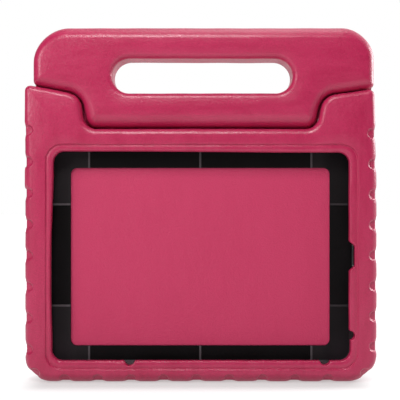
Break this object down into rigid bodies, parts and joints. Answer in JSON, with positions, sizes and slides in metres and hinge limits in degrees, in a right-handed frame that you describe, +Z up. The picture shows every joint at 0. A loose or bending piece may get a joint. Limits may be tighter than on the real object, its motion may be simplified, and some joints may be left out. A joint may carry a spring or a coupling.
{
  "type": "tablet case",
  "caption": "Child's thick foam tablet case with a black inner frame, finger grooves and a carry handle that folds back as a stand.",
  "frame": {"origin": "middle of the case's footprint, on the surface that it stands on", "axes": "+X to the viewer's right, the open front faces -Y, +Z up towards the handle"},
  "size_m": [0.28, 0.03, 0.2839],
  "materials": {
    "pink_foam": "moulded closed-cell foam with a fine leathery grain",
    "pink_foam_handle": "moulded closed-cell foam with a fine leathery grain",
    "pink_foam_key": "moulded closed-cell foam, smooth pad",
    "pink_cap": "satin moulded plug",
    "black_plastic": "fine spark-eroded matt",
    "black_nylon": "satin nylon",
    "washer_rubber": "matt",
    "rod_steel": "drawn bright",
    "spring_steel": "blued spring steel"
  },
  "bodies": {
    "case": {"foam_body": "pink_foam", "inner_frame": "black_plastic", "shoulder_bush_left": "black_nylon", "shoulder_bush_right": "black_nylon", "friction_washer_left": "washer_rubber", "friction_washer_right": "washer_rubber", "hinge_cap_left": "pink_cap", "hinge_cap_right": "pink_cap"},
    "handle": {"carry_handle": "pink_foam_handle", "handle_tube": "black_nylon", "hinge_rod": "rod_steel", "spring_washer_left": "spring_steel", "spring_washer_right": "spring_steel", "rod_clip_left": "spring_steel", "rod_clip_right": "spring_steel"},
    "power_key": {"power_button_pad": "pink_foam_key"}
  },
  "joints": [
    {"name": "handle_fold", "type": "hinge", "parent": "case", "child": "handle", "pos_m": [0, 0.005, 0.217], "axis": [-1, 0, 0], "range_deg": [0, 120]},
    {"name": "power_key_press", "type": "slide", "parent": "case", "child": "power_key", "axis": [1, 0, 0], "range_m": [0, 0.001], "stiffness_N_per_m": 600, "springref_m": -0.0003}
  ]
}
